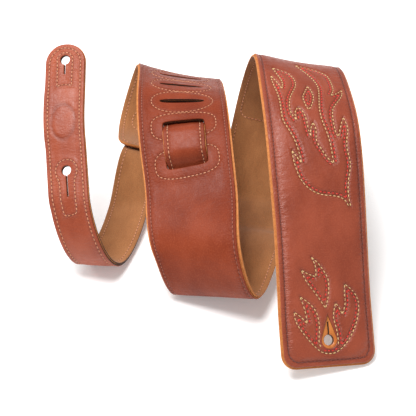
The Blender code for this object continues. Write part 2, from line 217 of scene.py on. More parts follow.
def hump(x, width):
    """A smooth bump: 1 at 0, and nearly 0 beyond twice the width."""
    return np.exp(-((x / width) ** 2))


def lengths(path):
    """How far along a path each of its points is."""
    return np.concatenate([[0], np.cumsum(np.linalg.norm(np.diff(path, axis=0), axis=1))])


def left_of(way):
    """Directions to the left of these flat directions."""
    return np.stack([-way[:, 1], way[:, 0]], axis=1)


def spline(points, at):
    """A natural cubic spline through the points, read at these numbers of points from the first."""
    points = np.asarray(points, float)
    last = len(points) - 1
    bend = np.zeros_like(points)
    system = np.eye(last + 1)
    for i in range(1, last):
        system[i, i - 1 : i + 2] = 1, 4, 1
        bend[i] = 6 * (points[i + 1] - 2 * points[i] + points[i - 1])
    bend = np.linalg.solve(system, bend)
    i = np.clip(np.floor(at).astype(int), 0, last - 1)
    after = at - i
    if points.ndim > 1:
        after = after[:, None]
    before = 1 - after
    straight = before * points[i] + after * points[i + 1]
    return straight + ((before**3 - before) * bend[i] + (after**3 - after) * bend[i + 1]) / 6


class Ribbon:
    """A strap's middle surface, in millimetres: a centre line with directions across it and out of it.

    At each place in flats the strap is laid flat. dip(s, v) is how far the strap sags towards its inside.
    """

    FLAT_HALF = 13
    FLAT_FADE = 14

    def __init__(self, centre, axis, flats=(), dip=None):
        self.dip = dip
        self.length = lengths(centre)
        along = unit(np.gradient(centre, axis=0))
        across = unit(axis - (axis * along).sum(1, keepdims=True) * along)
        self.columns = np.hstack([centre, along, across])
        self.end = self.length[-1]
        self.flats = [(place, self.read(np.array([place]))[0]) for place in flats]

    def read(self, s):
        return np.stack([np.interp(s, self.length, column) for column in self.columns.T], axis=1)

    def frames(self, s):
        rows = self.read(s)
        for place, row in self.flats:
            flat = np.tile(row, (len(s), 1))
            flat[:, :3] = row[:3] + (s - place)[:, None] * row[3:6]
            share = 1 - smoothstep((np.abs(s - place) - self.FLAT_HALF) / self.FLAT_FADE)
            rows = rows + share[:, None] * (flat - rows)
        centre, along, across = rows[:, :3], unit(rows[:, 3:6]), unit(rows[:, 6:9])
        return centre, along, across, unit(np.cross(across, along))

    def place(self, s, v, height):
        centre, _, across, out = self.frames(s)
        if self.dip:
            height = height - self.dip(s, v)
        return centre + v[:, None] * across + height[:, None] * out


def route_lines(route, turn, rise, samples):
    """Centre line of a route, and the direction across it from its turn in degrees and its rise."""
    at = np.linspace(0, len(route) - 1, samples)
    knot = at / at[-1] * (len(turn) - 1)
    angle = np.radians(spline(turn, knot))
    axis = np.stack([np.cos(angle), np.sin(angle), spline(rise, knot)], axis=1)
    return spline(route, at) - ORIGIN, axis


def slot_place(number):
    return FIRST_SLOT + number * SLOT_PITCH


def weave(s):
    """Where the adjuster strap lies in the wide strap: 1 outside it, -1 inside."""
    side = -np.ones_like(s)
    for number, turn in zip(THREADED_SLOTS, (2, -2, 2)):
        side = side + turn * smoothstep((s - slot_place(number)) / WEAVE_RUN + 0.5)
    return side


def join(before, after):
    """A smooth curve from the last point of one line to the first of the next, without its ends."""
    t = np.linspace(0, 1, 30)[1:-1, None]
    start, end = before[-1], after[0]
    reach = np.linalg.norm(end - start)
    leave, arrive = unit(before[1] - before[0]) * reach, unit(after[1] - after[0]) * reach
    return start + smoothstep(t) * (end - start) + t * (1 - t) ** 2 * leave - t**2 * (1 - t) * arrive


def adjuster_ribbon(wide, flats=()):
    """The narrow strap: woven through the wide strap's slots, then along its own route."""
    s = np.arange(ADJUSTER_START, wide.end - 4, 0.5)
    centre, _, across, out = wide.frames(s)
    past = np.maximum(0, s - slot_place(THREADED_SLOTS[-1]))
    drift = -ADJUSTER_DRIFT * past**2 / (past + DRIFT_START)
    threaded = centre + (weave(s) * WEAVE_HEIGHT)[:, None] * out + drift[:, None] * across
    free, axis = route_lines(ADJUSTER_ROUTE, ADJUSTER_TURN, ADJUSTER_RISE, 400)
    between = join(threaded[-2:], free[:2])
    share = np.linspace(0, 1, len(between))[:, None]
    turning = across[-1] + share * (axis[0] - across[-1])
    return Ribbon(np.vstack([threaded, between, free]), unit(np.vstack([across, turning, axis])), flats)


# Flat paths


def arc(centre, radius, start, end, steps):
    angles = np.radians(np.linspace(start, end, steps + 1))
    return [(centre[0] + radius * math.cos(a), centre[1] + radius * math.sin(a)) for a in angles]


def spaced(path, spacing, closed=False):
    """The path again, with its points about this far apart, and its corners kept."""
    path = [tuple(p) for p in path]
    turns = path[1:] + path[:1] if closed else path[1:]
    found = []
    for a, b in zip(path, turns):
        count = max(1, round(math.dist(a, b) / spacing))
        found += [
            (a[0] + (b[0] - a[0]) * i / count, a[1] + (b[1] - a[1]) * i / count) for i in range(count)
        ]
    return np.array(found if closed else found + [path[-1]])


def even(path, spacing):
    """A curved path again, with its points evenly spaced along it."""
    path = np.asarray(path, float)
    far = lengths(path)
    at = np.linspace(0, far[-1], max(2, round(far[-1] / spacing) + 1))
    return np.stack([np.interp(at, far, path[:, 0]), np.interp(at, far, path[:, 1])], axis=1)


def strip(start, end, width, start_corner=0, end_corner=0):
    """The outline of a straight stretch of strap, with its start or its end rounded."""
    half = width / 2
    path = []
    for sharp, centre, radius, angle in (
        ((start, -half), (start + start_corner, start_corner - half), start_corner, 180),
        ((end, -half), (end - end_corner, end_corner - half), end_corner, -90),
        ((end, half), (end - end_corner, half - end_corner), end_corner, 0),
        ((start, half), (start + start_corner, half - start_corner), start_corner, 90),
    ):
        path += arc(centre, radius, angle, angle + 90, 10) if radius else [sharp]
    return [p for p, q in zip(path, path[1:] + path[:1]) if math.dist(p, q) > 0.01]


def keyhole(place, radius, slit, toward=1):
    """A round hole with a slit from one side of it."""
    turn = 0 if toward > 0 else 180
    opening = math.degrees(math.asin(SLIT_WIDTH / 2 / radius))
    end = place + toward * (radius + slit)
    side = SLIT_WIDTH / 2 * toward
    return arc((place, 0), radius, turn + opening, turn + 360 - opening, 28) + [(end, -side), (end, side)]


def drop(place, radius, tip):
    """A round end with a point: the window in the padded end, and the patch behind it."""
    lean = math.degrees(math.acos(radius / tip))
    return [(place + tip, 0)] + arc((place, 0), radius, lean, 360 - lean, 24)


def oval(place, along, across, square):
    """A closed oval: an ellipse where square is 2, and nearer a rounded oblong where it is more."""
    path = []
    for angle in np.radians(np.arange(0, 360, 5)):
        x, y = math.cos(angle), math.sin(angle)
        path.append((
            place + math.copysign(abs(x) ** (2 / square), x) * along,
            math.copysign(abs(y) ** (2 / square), y) * across,
        ))
    return path


def slot(number):
    """The outline of one slot: nearly oblong where the narrow strap holds it open, else a thin oval."""
    if number in THREADED_SLOTS:
        return oval(slot_place(number), SLOT_OPEN / 2, SLOT_OPEN_LENGTH / 2, 6)
    return oval(slot_place(number), SLOT_CLOSED / 2, SLOT_LENGTH / 2, 2.8)


def inset(path, distance):
    """A closed path moved to its left."""
    path = np.asarray(path, float)
    way = unit(np.roll(path, -1, axis=0) - np.roll(path, 1, axis=0))
    return path + distance * left_of(way)


def inside(points, path):
    """Whether each point is inside this closed path."""
    x, y = points.T
    found = np.zeros(len(points), bool)
    path = [tuple(p) for p in path]
    for (ax, ay), (bx, by) in zip(path, path[1:] + path[:1]):
        if ay != by:
            found ^= ((ay > y) != (by > y)) & (x < (bx - ax) * (y - ay) / (by - ay) + ax)
    return found


def distance(points, lines):
    """How far each point is from the nearest of these open lines."""
    nearest = np.full(len(points), 1e3)
    for line in lines:
        low, high = line.min(0) - 8, line.max(0) + 8
        near = np.flatnonzero(((points > low) & (points < high)).all(1))
        if not len(near) or len(line) < 2:
            continue
        a, b = line[:-1], line[1:]
        side = b - a
        size = np.maximum((side * side).sum(1), 1e-9)
        away = points[near][:, None] - a
        share = np.clip((away * side).sum(2) / size, 0, 1)
        apart = np.linalg.norm(away - share[..., None] * side, axis=2).min(1)
        nearest[near] = np.minimum(nearest[near], apart)
    return nearest


def ring(path):
    """A closed path as a line that ends where it starts."""
    path = np.asarray(path, float)
    return np.vstack([path, path[:1]])


# Sewn lines


def curve(stroke):
    """A smooth line through a stroke's points."""
    stroke = np.array(stroke, float)
    if len(stroke) > 2:
        stroke = spline(stroke, np.linspace(0, len(stroke) - 1, 12 * len(stroke)))
    return even(stroke, SAMPLE)


def rounded(path):
    """A closed smooth line through these points."""
    path = np.array(path, float)
    count = len(path)
    wrapped = np.vstack([path[-3:], path, path[:3]])
    return spline(wrapped, np.linspace(3, count + 3, 12 * count + 1))


def inner_lines(strokes, offset):
    """The lines on the left of these strokes, broken where they would come too near another stroke."""
    found = []
    for line in strokes:
        way = unit(np.gradient(line, axis=0))
        moved = line + offset * left_of(way)
        clear = distance(moved, strokes) > 0.93 * offset
        run = []
        for point, good in zip(moved, clear):
            if good:
                run.append(point)
            elif run:
                found.append(np.array(run))
                run = []
        if run:
            found.append(np.array(run))
    return [line for line in found if len(line) > 3]


def seam_lines():
    """Every sewn line of the wide strap, by thread."""
    flames = [[curve(stroke) for stroke in flame] for flame in (UPPER_FLAME, LEAF, SMALL_FLAME, LOWER_FLAME)]
    cream = [line for flame in flames for line in flame]
    red = [line for flame in flames for line in inner_lines(flame, FLAME_INNER)]
    pad = np.array(strip(PAD_SEAM, PAD_LENGTH, WIDE_WIDTH - 2 * PAD_SEAM, CORNER - PAD_SEAM + 2, 6))
    edge = WIDE_WIDTH / 2 - EDGE_SEAM
    start, far = PAD_LENGTH + 6, wide.end - EDGE_SEAM
    corner = END_CORNER - EDGE_SEAM
    border = [(start, -edge)] + arc((far - corner, corner - edge), corner, -90, 0, 6)
    border += arc((far - corner, edge - corner), corner, 0, 90, 6) + [(start, edge)]
    round_slots = []
    for number in range(SLOTS):
        shape = SEWN_OPEN if number in THREADED_SLOTS else SEWN_CLOSED
        outline = oval(slot_place(number) + SEWN_SHIFT.get(number, 0), *shape)
        round_slots.append(even(ring(outline), SAMPLE))
    return {
        "dark": [even(ring(pad), SAMPLE)],
        "cream": cream,
        "red": red,
        "russet": [even(border, SAMPLE)],
        "tan": round_slots,
    }


def adjuster_lines(end):
    """The narrow strap's seams: along its edges, and round each pin hole with its slit."""
    half = NARROW_WIDTH / 2
    edge = half - EDGE_SEAM + 0.3
    path = [(3, -edge)] + arc((end - half, 0), edge, -90, 90, 20) + [(3, edge)]
    lines = [even(path, SAMPLE)]
    for hole, outline in ((end - TIP_HOLE, TIP_OUTLINE), (end - LOW_HOLE, LOW_OUTLINE)):
        around = [(hole + s, v) for s, v in outline]
        around += [(s, -v) for s, v in around[:0:-1]]
        lines.append(even(rounded(around), SAMPLE))
    return lines


# Meshes


def triangulate(paths, guides, spacing, clear):
    """Points and triangles of a flat piece: its outline and holes are paths, and guides are lines of
    extra points. The regular points keep clear of the paths by this much."""
    outline = np.array(paths[0])
    low, high = outline.min(0), outline.max(0)
    rows = np.arange(low[0] + spacing / 2, high[0], spacing)
    columns = np.linspace(low[1], high[1], max(2, round((high[1] - low[1]) / spacing)) + 1)
    grid = np.array([(x, y) for x in rows for y in columns])
    edges_of = [ring(path) for path in paths]
    extra = [g[(g[:, 0] > low[0] + 0.4) & (g[:, 0] < high[0] - 0.4)] for g in guides]
    extra = [g for g in extra if len(g)]
    fixed = np.vstack(extra) if extra else np.zeros((0, 2))
    if len(fixed):
        fixed = fixed[inside(fixed, outline) & (distance(fixed, edges_of) > 0.35)]
        for path in paths[1:]:
            fixed = fixed[~inside(fixed, path)]
        apart = np.unique(np.round(fixed / 0.45), axis=0, return_index=True)[1]
        fixed = fixed[apart]
        grid = grid[distance(grid, extra) > 0.45 * spacing]
    grid = grid[inside(grid, outline) & (distance(grid, edges_of) > clear)]
    for path in paths[1:]:
        grid = grid[~inside(grid, path)]
    every = [np.asarray(path, float) for path in paths] + [fixed, grid]
    edges = []
    first = 0
    for path in paths:
        edges += [(first + i, first + (i + 1) % len(path)) for i in range(len(path))]
        first += len(path)
    points = [Vector(p) for p in np.vstack(every).tolist()]
    verts, _, faces, _, _, _ = delaunay_2d_cdt(points, edges, [], 0, 1e-9)
    verts = np.array([tuple(p) for p in verts])
    faces = np.array(faces)
    middle = verts[faces].mean(1)
    keep = inside(middle, outline)
    for path in paths[1:]:
        keep &= ~inside(middle, path)
    return verts, faces[keep]


def make_object(name, points, polygons, kinds, materials, flat, painted_shade, gather=None):
    """A mesh object in metres, with a material for each face, the flat place of each point, how much painted
    shade darkens it and how much it is gathered by a seam."""
    mesh = bpy.data.meshes.new(name)
    mesh.from_pydata((points / 1000).tolist(), [], polygons)
    for material in materials:
        mesh.materials.append(material)
    mesh.polygons.foreach_set("material_index", np.asarray(kinds, np.int32))
    layer = mesh.attributes.new("flat", "FLOAT_VECTOR", "POINT")
    layer.data.foreach_set("vector", flat.ravel().astype(np.float32))
    for attribute, values in (("painted_shade", painted_shade), ("gather", gather)):
        if values is not None:
            layer = mesh.attributes.new(attribute, "FLOAT", "POINT")
            layer.data.foreach_set("value", np.asarray(values, np.float32))
    mesh.update()
    mesh.shade_smooth()
    mesh.set_sharp_from_angle(angle=math.radians(38))
    obj = bpy.data.objects.new(name, mesh)
    bpy.context.scene.collection.objects.link(obj)
    return obj


def free_edges(path, cuts):
    """The parts of a closed outline that don't lie on a cut between two pieces."""
    found, run = [], []
    for point, after in zip(path, np.roll(path, -1, axis=0)):
        if any(abs(point[0] - cut) < 0.01 and abs(after[0] - cut) < 0.01 for cut in cuts):
            if run:
                found.append(np.array([*run, point]))
            run = []
        else:
            run.append(point)
    if run:
        found.append(np.array([*run, path[0]]))
    return found


def laid_piece(name, ribbon, paths, guides, top, bottom, spacing, materials, bevel=0.4, cuts=()):
    """A closed cut of leather between two height functions: top for the face that shows, and bottom
    for the face inside the strap. The materials are those of the face that shows, the side walls, the
    face inside and the walls of the holes, and the spacings are those of the two faces."""
    paths = [np.asarray(p, float) for p in paths]
    rings = [inset(p, 0.45) for p in paths[:1]] + [inset(p, -0.45) for p in paths[1:]]
    high_at, high_faces = triangulate(paths, [*guides, *rings], spacing[0], 0.9)
    low_at, low_faces = triangulate(paths, [], spacing[1], 1.2)
    near = distance(high_at, [*free_edges(paths[0], cuts), *[ring(p) for p in paths[1:]]])
    lift, painted_shade, gather = top(high_at[:, 0], high_at[:, 1])
    lift = lift - bevel * (1 - smoothstep(near / 0.5)) ** 2
    high = ribbon.place(*high_at.T, lift)
    low = ribbon.place(*low_at.T, bottom(low_at[:, 0], low_at[:, 1]))
    count = len(high)
    polygons = [tuple(f) for f in high_faces.tolist()]
    polygons += [tuple(f[::-1]) for f in (low_faces + count).tolist()]
    kinds = [0] * len(high_faces) + [2] * len(low_faces)
    first = 0
    for number, path in enumerate(paths):
        area = (path[:, 0] * np.roll(path[:, 1], -1) - np.roll(path[:, 0], -1) * path[:, 1]).sum()
        for i in range(len(path)):
            a, b = first + i, first + (i + 1) % len(path)
            wall = (a, count + a, count + b, b)
            outward = (area > 0) == (number == 0)
            polygons.append(wall if outward else wall[::-1])
            kinds.append(1 if number == 0 else 3)
        first += len(path)
    below = np.zeros(len(low_at))
    flat = np.vstack([np.c_[high_at, np.ones(count)], np.c_[low_at, below]])
    obj = make_object(name, np.vstack([high, low]), polygons, kinds, materials, flat,
                      np.concatenate([painted_shade, below]), np.concatenate([gather, below]))
    face_out(obj)
    return obj


def face_out(obj):
    """Turn a closed mesh's faces outward."""
    mesh = obj.data
    mesh.calc_loop_triangles()
    at = np.empty(len(mesh.vertices) * 3)
    mesh.vertices.foreach_get("co", at)
    at = at.reshape(-1, 3)
    corners = np.empty(len(mesh.loop_triangles) * 3, np.int32)
    mesh.loop_triangles.foreach_get("vertices", corners)
    a, b, c = at[corners.reshape(-1, 3)].transpose(1, 0, 2)
    if np.einsum("ij,ij->", a, np.cross(b, c)) < 0:
        mesh.flip_normals()


# Along the stitch, its thickness, its height, and how far it is in the shade of its needle hole
RINGS = np.array([(-0.62, 0.62, -0.75, 1), (-0.5, 0.75, -0.2, 1), (-0.3, 0.92, 0.25, 0.2), (0, 1.0, 0.5, 0),
                  (0.3, 0.92, 0.25, 0.2), (0.5, 0.75, -0.2, 1), (0.62, 0.62, -0.75, 1)])
SIDES = 6


def stitches(name, ribbon, lines, surface, radius, span, material, side=1):
    """Thread along these lines: a short arched bead for each stitch, dipping into the leather at both
    ends. Only the stitches whose middle lies in this span of the ribbon are made."""
    beads = []
    for line in lines:
        far = lengths(line)
        count = max(1, round(far[-1] / PITCH))
        middles = (np.arange(count) + 0.5) * far[-1] / count
        at = middles[:, None] + RINGS[:, 0] * STITCH
        bead = np.stack([np.interp(at, far, column) for column in line.T], axis=2)
        place = np.interp(middles, far, line[:, 0])
        beads.append(bead[(place >= span[0]) & (place < span[1])])
    beads = np.vstack(beads)
    if not len(beads):
        return None
    count, rings_of, _ = beads.shape
    s, v = beads.reshape(-1, 2).T
    height = surface(s, v) + side * np.tile(RINGS[:, 2], count) * radius
    middle = ribbon.place(s, v, height).reshape(count, rings_of, 3)
    _, _, _, out = ribbon.frames(s)
    out = out.reshape(count, rings_of, 3) * side
    way = unit(middle[:, -1] - middle[:, 0])[:, None]
    across = unit(np.cross(out, np.broadcast_to(way, out.shape)))
    angles = np.arange(SIDES) / SIDES * 2 * math.pi
    width = (np.tile(RINGS[:, 1], (count, 1)) * radius)[..., None, None]
    points = middle[:, :, None] + width * (
        np.cos(angles)[:, None] * across[:, :, None] + np.sin(angles)[:, None] * out[:, :, None])
    per = rings_of * SIDES
    bead = []
    for r in range(rings_of - 1):
        for k in range(SIDES):
            a, b = r * SIDES + k, r * SIDES + (k + 1) % SIDES
            bead.append((a, b, b + SIDES, a + SIDES))
    bead += [tuple(range(SIDES))[::-1], tuple((rings_of - 1) * SIDES + k for k in range(SIDES))]
    polygons = [tuple(i * per + x for x in face) for i in range(count) for face in bead]
    where = np.repeat(beads[:, :, None], SIDES, axis=2).reshape(-1, 2)
    turn = np.tile(np.arange(SIDES), count * rings_of) / SIDES
    shade = np.tile(np.repeat(RINGS[:, 3], SIDES), count)
    obj = make_object(name, points.reshape(-1, 3), polygons, [0] * len(polygons), [material],
                      np.c_[where, turn], shade)
    face_out(obj)
    return obj


# Materials


def tree_of(name):
    material = bpy.data.materials.new(name)
    material.use_nodes = True
    return material, material.node_tree.nodes, material.node_tree.links


def linear(*colour):
    """A display colour, 0 to 255, as the linear colour that shaders take."""
    return tuple(c / 255 / 12.92 if c <= 10 else ((c / 255 + 0.055) / 1.055) ** 2.4 for c in colour)


def attribute(nodes, name):
    node = nodes.new("ShaderNodeAttribute")
    node.attribute_name = name
    return node.outputs


def flat_vector(nodes, links, scale, offset=(0, 0, 0)):
    """Where a point lies on the flat piece, in millimetres, scaled and moved."""
    mapping = nodes.new("ShaderNodeMapping")
    mapping.inputs["Scale"].default_value = scale
    mapping.inputs["Location"].default_value = offset
    links.new(attribute(nodes, "flat")["Vector"], mapping.inputs["Vector"])
    return mapping.outputs["Vector"]


def noise(nodes, links, scale, detail=3, roughness=0.5, offset=(0, 0, 0)):
    """Noise over the flat piece, where a scale is in cycles for each millimetre."""
    node = nodes.new("ShaderNodeTexNoise")
    node.inputs["Scale"].default_value = 1
    node.inputs["Detail"].default_value = detail
    node.inputs["Roughness"].default_value = roughness
    links.new(flat_vector(nodes, links, scale, offset), node.inputs["Vector"])
    return node.outputs["Fac"]


def spread(nodes, links, value, low, high, to_low=0.0, to_high=1.0):
    """A value with one range stretched to another, and held inside it."""
    node = nodes.new("ShaderNodeMapRange")
    node.inputs["From Min"].default_value = low
    node.inputs["From Max"].default_value = high
    node.inputs["To Min"].default_value = to_low
    node.inputs["To Max"].default_value = to_high
    links.new(value, node.inputs["Value"])
    return node.outputs["Result"]


def blended(nodes, links, share, first, second):
    """A mix of two colours, where either can be a plain colour or another node's output."""
    node = nodes.new("ShaderNodeMix")
    node.data_type = "RGBA"
    links.new(share, node.inputs["Factor"])
    for socket, value in (("A", first), ("B", second)):
        target = [i for i in node.inputs if i.name == socket and i.type == "RGBA"][0]
        if isinstance(value, tuple):
            target.default_value = (*value, 1)
        else:
            links.new(value, target)
    return [o for o in node.outputs if o.type == "RGBA"][0]


def bump(nodes, links, height, strength, depth, before=None):
    """Relief this deep in millimetres, on top of another bump if one is given."""
    node = nodes.new("ShaderNodeBump")
    node.inputs["Strength"].default_value = strength
    node.inputs["Distance"].default_value = depth / 1000
    links.new(height, node.inputs["Height"])
    if before is not None:
        links.new(before, node.inputs["Normal"])
    return node.outputs["Normal"]


def grain(nodes, links, scale):
    """The rounded cells of a leather's grain."""
    node = nodes.new("ShaderNodeTexVoronoi")
    node.feature = "SMOOTH_F1"
    node.inputs["Scale"].default_value = 1
    node.inputs["Smoothness"].default_value = 0.6
    links.new(flat_vector(nodes, links, scale), node.inputs["Vector"])
    return node.outputs["Distance"]


def russet_leather(name, dark, light, crease, shine=0.4):
    """Smooth garment leather: fine grain, creases across the strap, gathers beside the seams, and a colour
    that varies, with painted shade in the seams."""
    material, nodes, links = tree_of(name)
    shader = nodes["Principled BSDF"]
    cloud = spread(nodes, links, noise(nodes, links, (0.035, 0.05, 0.3), 4), 0.35, 0.68)
    base = blended(nodes, links, cloud, dark, light)
    fleck = spread(nodes, links, noise(nodes, links, (1.1, 1.1, 1), 2), 0.45, 0.75, 0, 0.14)
    base = blended(nodes, links, fleck, base, linear(196, 112, 74))
    # Painted shade in the sewn grooves, the pressed oval and the pin slit: the per-point attribute blends in
    # a dark brown.
    groove_shade = spread(nodes, links, attribute(nodes, "painted_shade")["Fac"], 0, 1, 0, 0.8)
    base = blended(nodes, links, groove_shade, base, linear(84, 30, 22))
    links.new(base, shader.inputs["Base Color"])
    wear = noise(nodes, links, (0.25, 0.3, 1), 3, 0.5, (7, 3, 0))
    rough = spread(nodes, links, wear, 0.3, 0.7, 0.32, 0.46)
    links.new(rough, shader.inputs["Roughness"])
    shader.inputs["Specular IOR Level"].default_value = shine
    fine = bump(nodes, links, grain(nodes, links, (1.5, 1.5, 1)), 0.45, 0.14)
    fold = noise(nodes, links, (0.62, 0.16, 1), 3, 0.6, (3, 1, 0))
    folds = bump(nodes, links, fold, crease, 0.5, fine)
    wave = bump(nodes, links, noise(nodes, links, (0.11, 0.09, 1), 2, 0.5, (1, 9, 0)), 0.5, 0.9, folds)
    gathers = noise(nodes, links, (0.9, 0.3, 1), 3, 0.6, (5, 2, 0))
    pinch = nodes.new("ShaderNodeMath")
    pinch.operation = "MULTIPLY"
    links.new(gathers, pinch.inputs[0])
    links.new(attribute(nodes, "gather")["Fac"], pinch.inputs[1])
    links.new(bump(nodes, links, pinch.outputs["Value"], 0.9, 1.1, wave), shader.inputs["Normal"])
    return material


def raw_edge(name, dark, light):
    """A cut edge: fibres in thin layers."""
    material, nodes, links = tree_of(name)
    shader = nodes["Principled BSDF"]
    fibres = spread(nodes, links, noise(nodes, links, (0.5, 0.5, 6), 4, 0.7), 0.3, 0.72)
    base = blended(nodes, links, fibres, dark, light)
    links.new(base, shader.inputs["Base Color"])
    shader.inputs["Roughness"].default_value = 0.78
    layers = noise(nodes, links, (1.2, 1.2, 8), 3, 0.7)
    links.new(bump(nodes, links, layers, 0.5, 0.25), shader.inputs["Normal"])
    return material


def suede(name, dark, light):
    """Brushed suede: a soft nap with lighter and darker strokes."""
    material, nodes, links = tree_of(name)
    shader = nodes["Principled BSDF"]
    strokes = spread(nodes, links, noise(nodes, links, (0.05, 0.09, 0.3), 4, 0.6), 0.33, 0.7)
    base = blended(nodes, links, strokes, dark, light)
    nap = spread(nodes, links, noise(nodes, links, (1.6, 1.6, 1), 4, 0.75), 0.35, 0.7, 0, 0.6)
    base = blended(nodes, links, nap, base, tuple(min(1, 1.45 * c) for c in light))
    pits = spread(nodes, links, noise(nodes, links, (1.1, 1.1, 1), 3, 0.7, (4, 8, 0)), 0.5, 0.75, 0, 0.5)
    base = blended(nodes, links, pits, base, tuple(0.6 * c for c in dark))
    links.new(base, shader.inputs["Base Color"])
    shader.inputs["Roughness"].default_value = 0.95
    shader.inputs["Specular IOR Level"].default_value = 0.15
    shader.inputs["Sheen Weight"].default_value = 0.25
    shader.inputs["Sheen Roughness"].default_value = 0.5
    fluff = bump(nodes, links, noise(nodes, links, (2.4, 2.4, 1), 4, 0.8), 0.6, 0.25)
    hills = noise(nodes, links, (0.2, 0.25, 1), 2)
    links.new(bump(nodes, links, hills, 0.4, 0.7, fluff), shader.inputs["Normal"])
    return material


def thread(name, dark, light):
    """Twisted thread: slanting plies in two tones, with painted shade where a stitch goes into its hole."""
    material, nodes, links = tree_of(name)
    shader = nodes["Principled BSDF"]
    plies = nodes.new("ShaderNodeTexWave")
    plies.inputs["Scale"].default_value = 0.55
    plies.inputs["Distortion"].default_value = 1.5
    links.new(flat_vector(nodes, links, (1, 1, 1)), plies.inputs["Vector"])
    base = blended(nodes, links, plies.outputs["Fac"], dark, light)
    # Painted shade where the stitch dips into its needle hole.
    base = blended(nodes, links, attribute(nodes, "painted_shade")["Fac"], base, linear(62, 26, 20))
    links.new(base, shader.inputs["Base Color"])
    shader.inputs["Roughness"].default_value = 0.6
    shader.inputs["Sheen Weight"].default_value = 0.15
    links.new(bump(nodes, links, plies.outputs["Fac"], 0.3, 0.08), shader.inputs["Normal"])
    return material


RUSSET = russet_leather("russet_garment_leather", linear(126, 51, 29), linear(147, 66, 42), 0.34)
# A darker copy of the same russet hide, as painted shade: it goes on the unpadded run of the wide strap and
# on the woven end of the narrow strap.
RUSSET_PAINTED_SHADE = russet_leather("russet_leather_painted_shade", linear(111, 42, 22), linear(130, 55, 32), 0.3, 0.13)
RUSSET_NARROW = russet_leather("russet_strap_leather", linear(132, 56, 33), linear(156, 75, 48), 0.6, 0.28)
TAN = russet_leather("tan_reinforcement", linear(182, 100, 36), linear(210, 130, 62), 0.3)
EDGE = raw_edge("raw_leather_edge", linear(168, 95, 39), linear(210, 138, 74))
NARROW_EDGE = raw_edge("dark_strap_edge", linear(48, 28, 18), linear(92, 56, 34))
# Nearly black walls for the slots and holes: painted shade inside them.
HOLE_WALL_SHADE = raw_edge("hole_wall_painted_shade", linear(30, 15, 9), linear(70, 38, 22))
SUEDE = suede("tan_suede_nap", linear(130, 83, 48), linear(155, 104, 64))
THREADS = {
    "dark": thread("dark_brown_thread", linear(84, 34, 26), linear(124, 58, 44)),
    "cream": thread("cream_thread", linear(214, 174, 108), linear(242, 214, 156)),
    "red": thread("red_thread", linear(212, 30, 22), linear(240, 62, 48)),
    "russet": thread("russet_thread", linear(126, 62, 44), linear(168, 94, 68)),
    "tan": thread("tan_thread", linear(184, 114, 78), linear(224, 160, 120)),
}


# The pieces


def sag(s, v):
    """How far the wide strap dips across its middle, where it bends over the two crests."""
    along = CREST_SAG * hump(s - CREST, CREST_REACH) + SLOT_CREST_SAG * hump(s - SLOT_CREST, SLOT_CREST_REACH)
    return along * (1 - (2 * v / WIDE_WIDTH) ** 2)


wide = Ribbon(*route_lines(WIDE_ROUTE, WIDE_TURN, WIDE_RISE, 2000), [PIN_HOLE, REST_FLAT], sag)
adjuster_end = adjuster_ribbon(wide).end
adjuster = adjuster_ribbon(wide, [adjuster_end - TIP_HOLE, adjuster_end - LOW_HOLE])
seams = seam_lines()
narrow_seams = adjuster_lines(adjuster_end)
sewn = [line for thread_lines in seams.values() for line in thread_lines]
flat_seams = seams["dark"] + seams["russet"] + seams["tan"]
window = drop(PIN_HOLE, WINDOW_RADIUS, WINDOW_TIP)


def wide_top(s, v):
    """The wide strap's leather: its height above the middle surface, how far painted shade darkens each point
    in the sewn grooves, and how far a seam gathers it."""
    at = np.stack([s, v], axis=1)
    from_side = WIDE_WIDTH / 2 - PAD_SEAM - np.abs(v)
    from_end = np.minimum(s - PAD_SEAM, PAD_LENGTH - s)
    rounded_off = np.hypot(np.maximum(PAD_ROUND - from_side, 0), np.maximum(PAD_ROUND - from_end, 0))
    within = PAD_ROUND - rounded_off
    puff = PAD * (1 - np.exp(-np.maximum(within, 0) / PAD_RISE)) * smoothstep((within + 0.2) / 1.2)
    puff = puff * (1 - PRESSED_FLAT * hump(s - CREST, PRESSED_REACH))
    flame = distance(at, seams["cream"] + seams["red"])
    rim = distance(at, flat_seams)
    flame_dip = 0.65 * hump(flame, 0.8) + 0.9 * np.exp(-flame / 2.4)
    rim_dip = 0.38 * hump(rim, 0.7) + 0.12 * np.exp(-rim / 1.5)
    pucker = 0.14 * np.sin(s * 1.3 + 2.2 * np.sin(v / 9)) * hump(within - 2.2, 2.2)
    hem = 0.8 + 0.2 * smoothstep(distance(at, [ring(window)]) / 2.2)
    height = GAP / 2 + LEATHER + puff * hem - flame_dip * smoothstep(puff / 1.2) - rim_dip + pucker
    # Painted shade in the grooves of the flames and of the flat seams.
    painted_shade = np.maximum(0.25 * hump(flame, 0.7), 0.4 * hump(rim, 0.7))
    return height, painted_shade, hump(np.minimum(rim, 1.5 * flame), 3.2)


def flat_at(height):
    return lambda s, v: np.full_like(s, height)


def suede_low(lines):
    """The backing's lower face, pulled in along these seams."""
    def low(s, v):
        rim = distance(np.stack([s, v], axis=1), lines)
        return 0.25 * hump(rim, 0.8) - GAP / 2 - LEATHER, 0.5 * hump(rim, 0.7), np.zeros_like(s)
    return low


def narrow_top(s, v):
    """The narrow strap's leather, with a plain oval pressed into its front."""
    rim = distance(np.stack([s, v], axis=1), narrow_seams)
    crown = CROWN * smoothstep((NARROW_WIDTH / 2 - np.abs(v) - 4) / 5)
    around = np.hypot((s - adjuster_end + OVAL_PLACE) / OVAL_HALF_LENGTH, v / OVAL_HALF_WIDTH)
    pressed = hump(9 * (around - 1), 1)
    height = GAP / 2 + LEATHER + crown - 0.4 * hump(rim, 0.7) - 0.4 * pressed
    # The second value is painted shade along the seams and in the pressed oval's line.
    return height, np.maximum(0.5 * hump(rim, 0.7), 0.45 * pressed), hump(rim, 2.2)


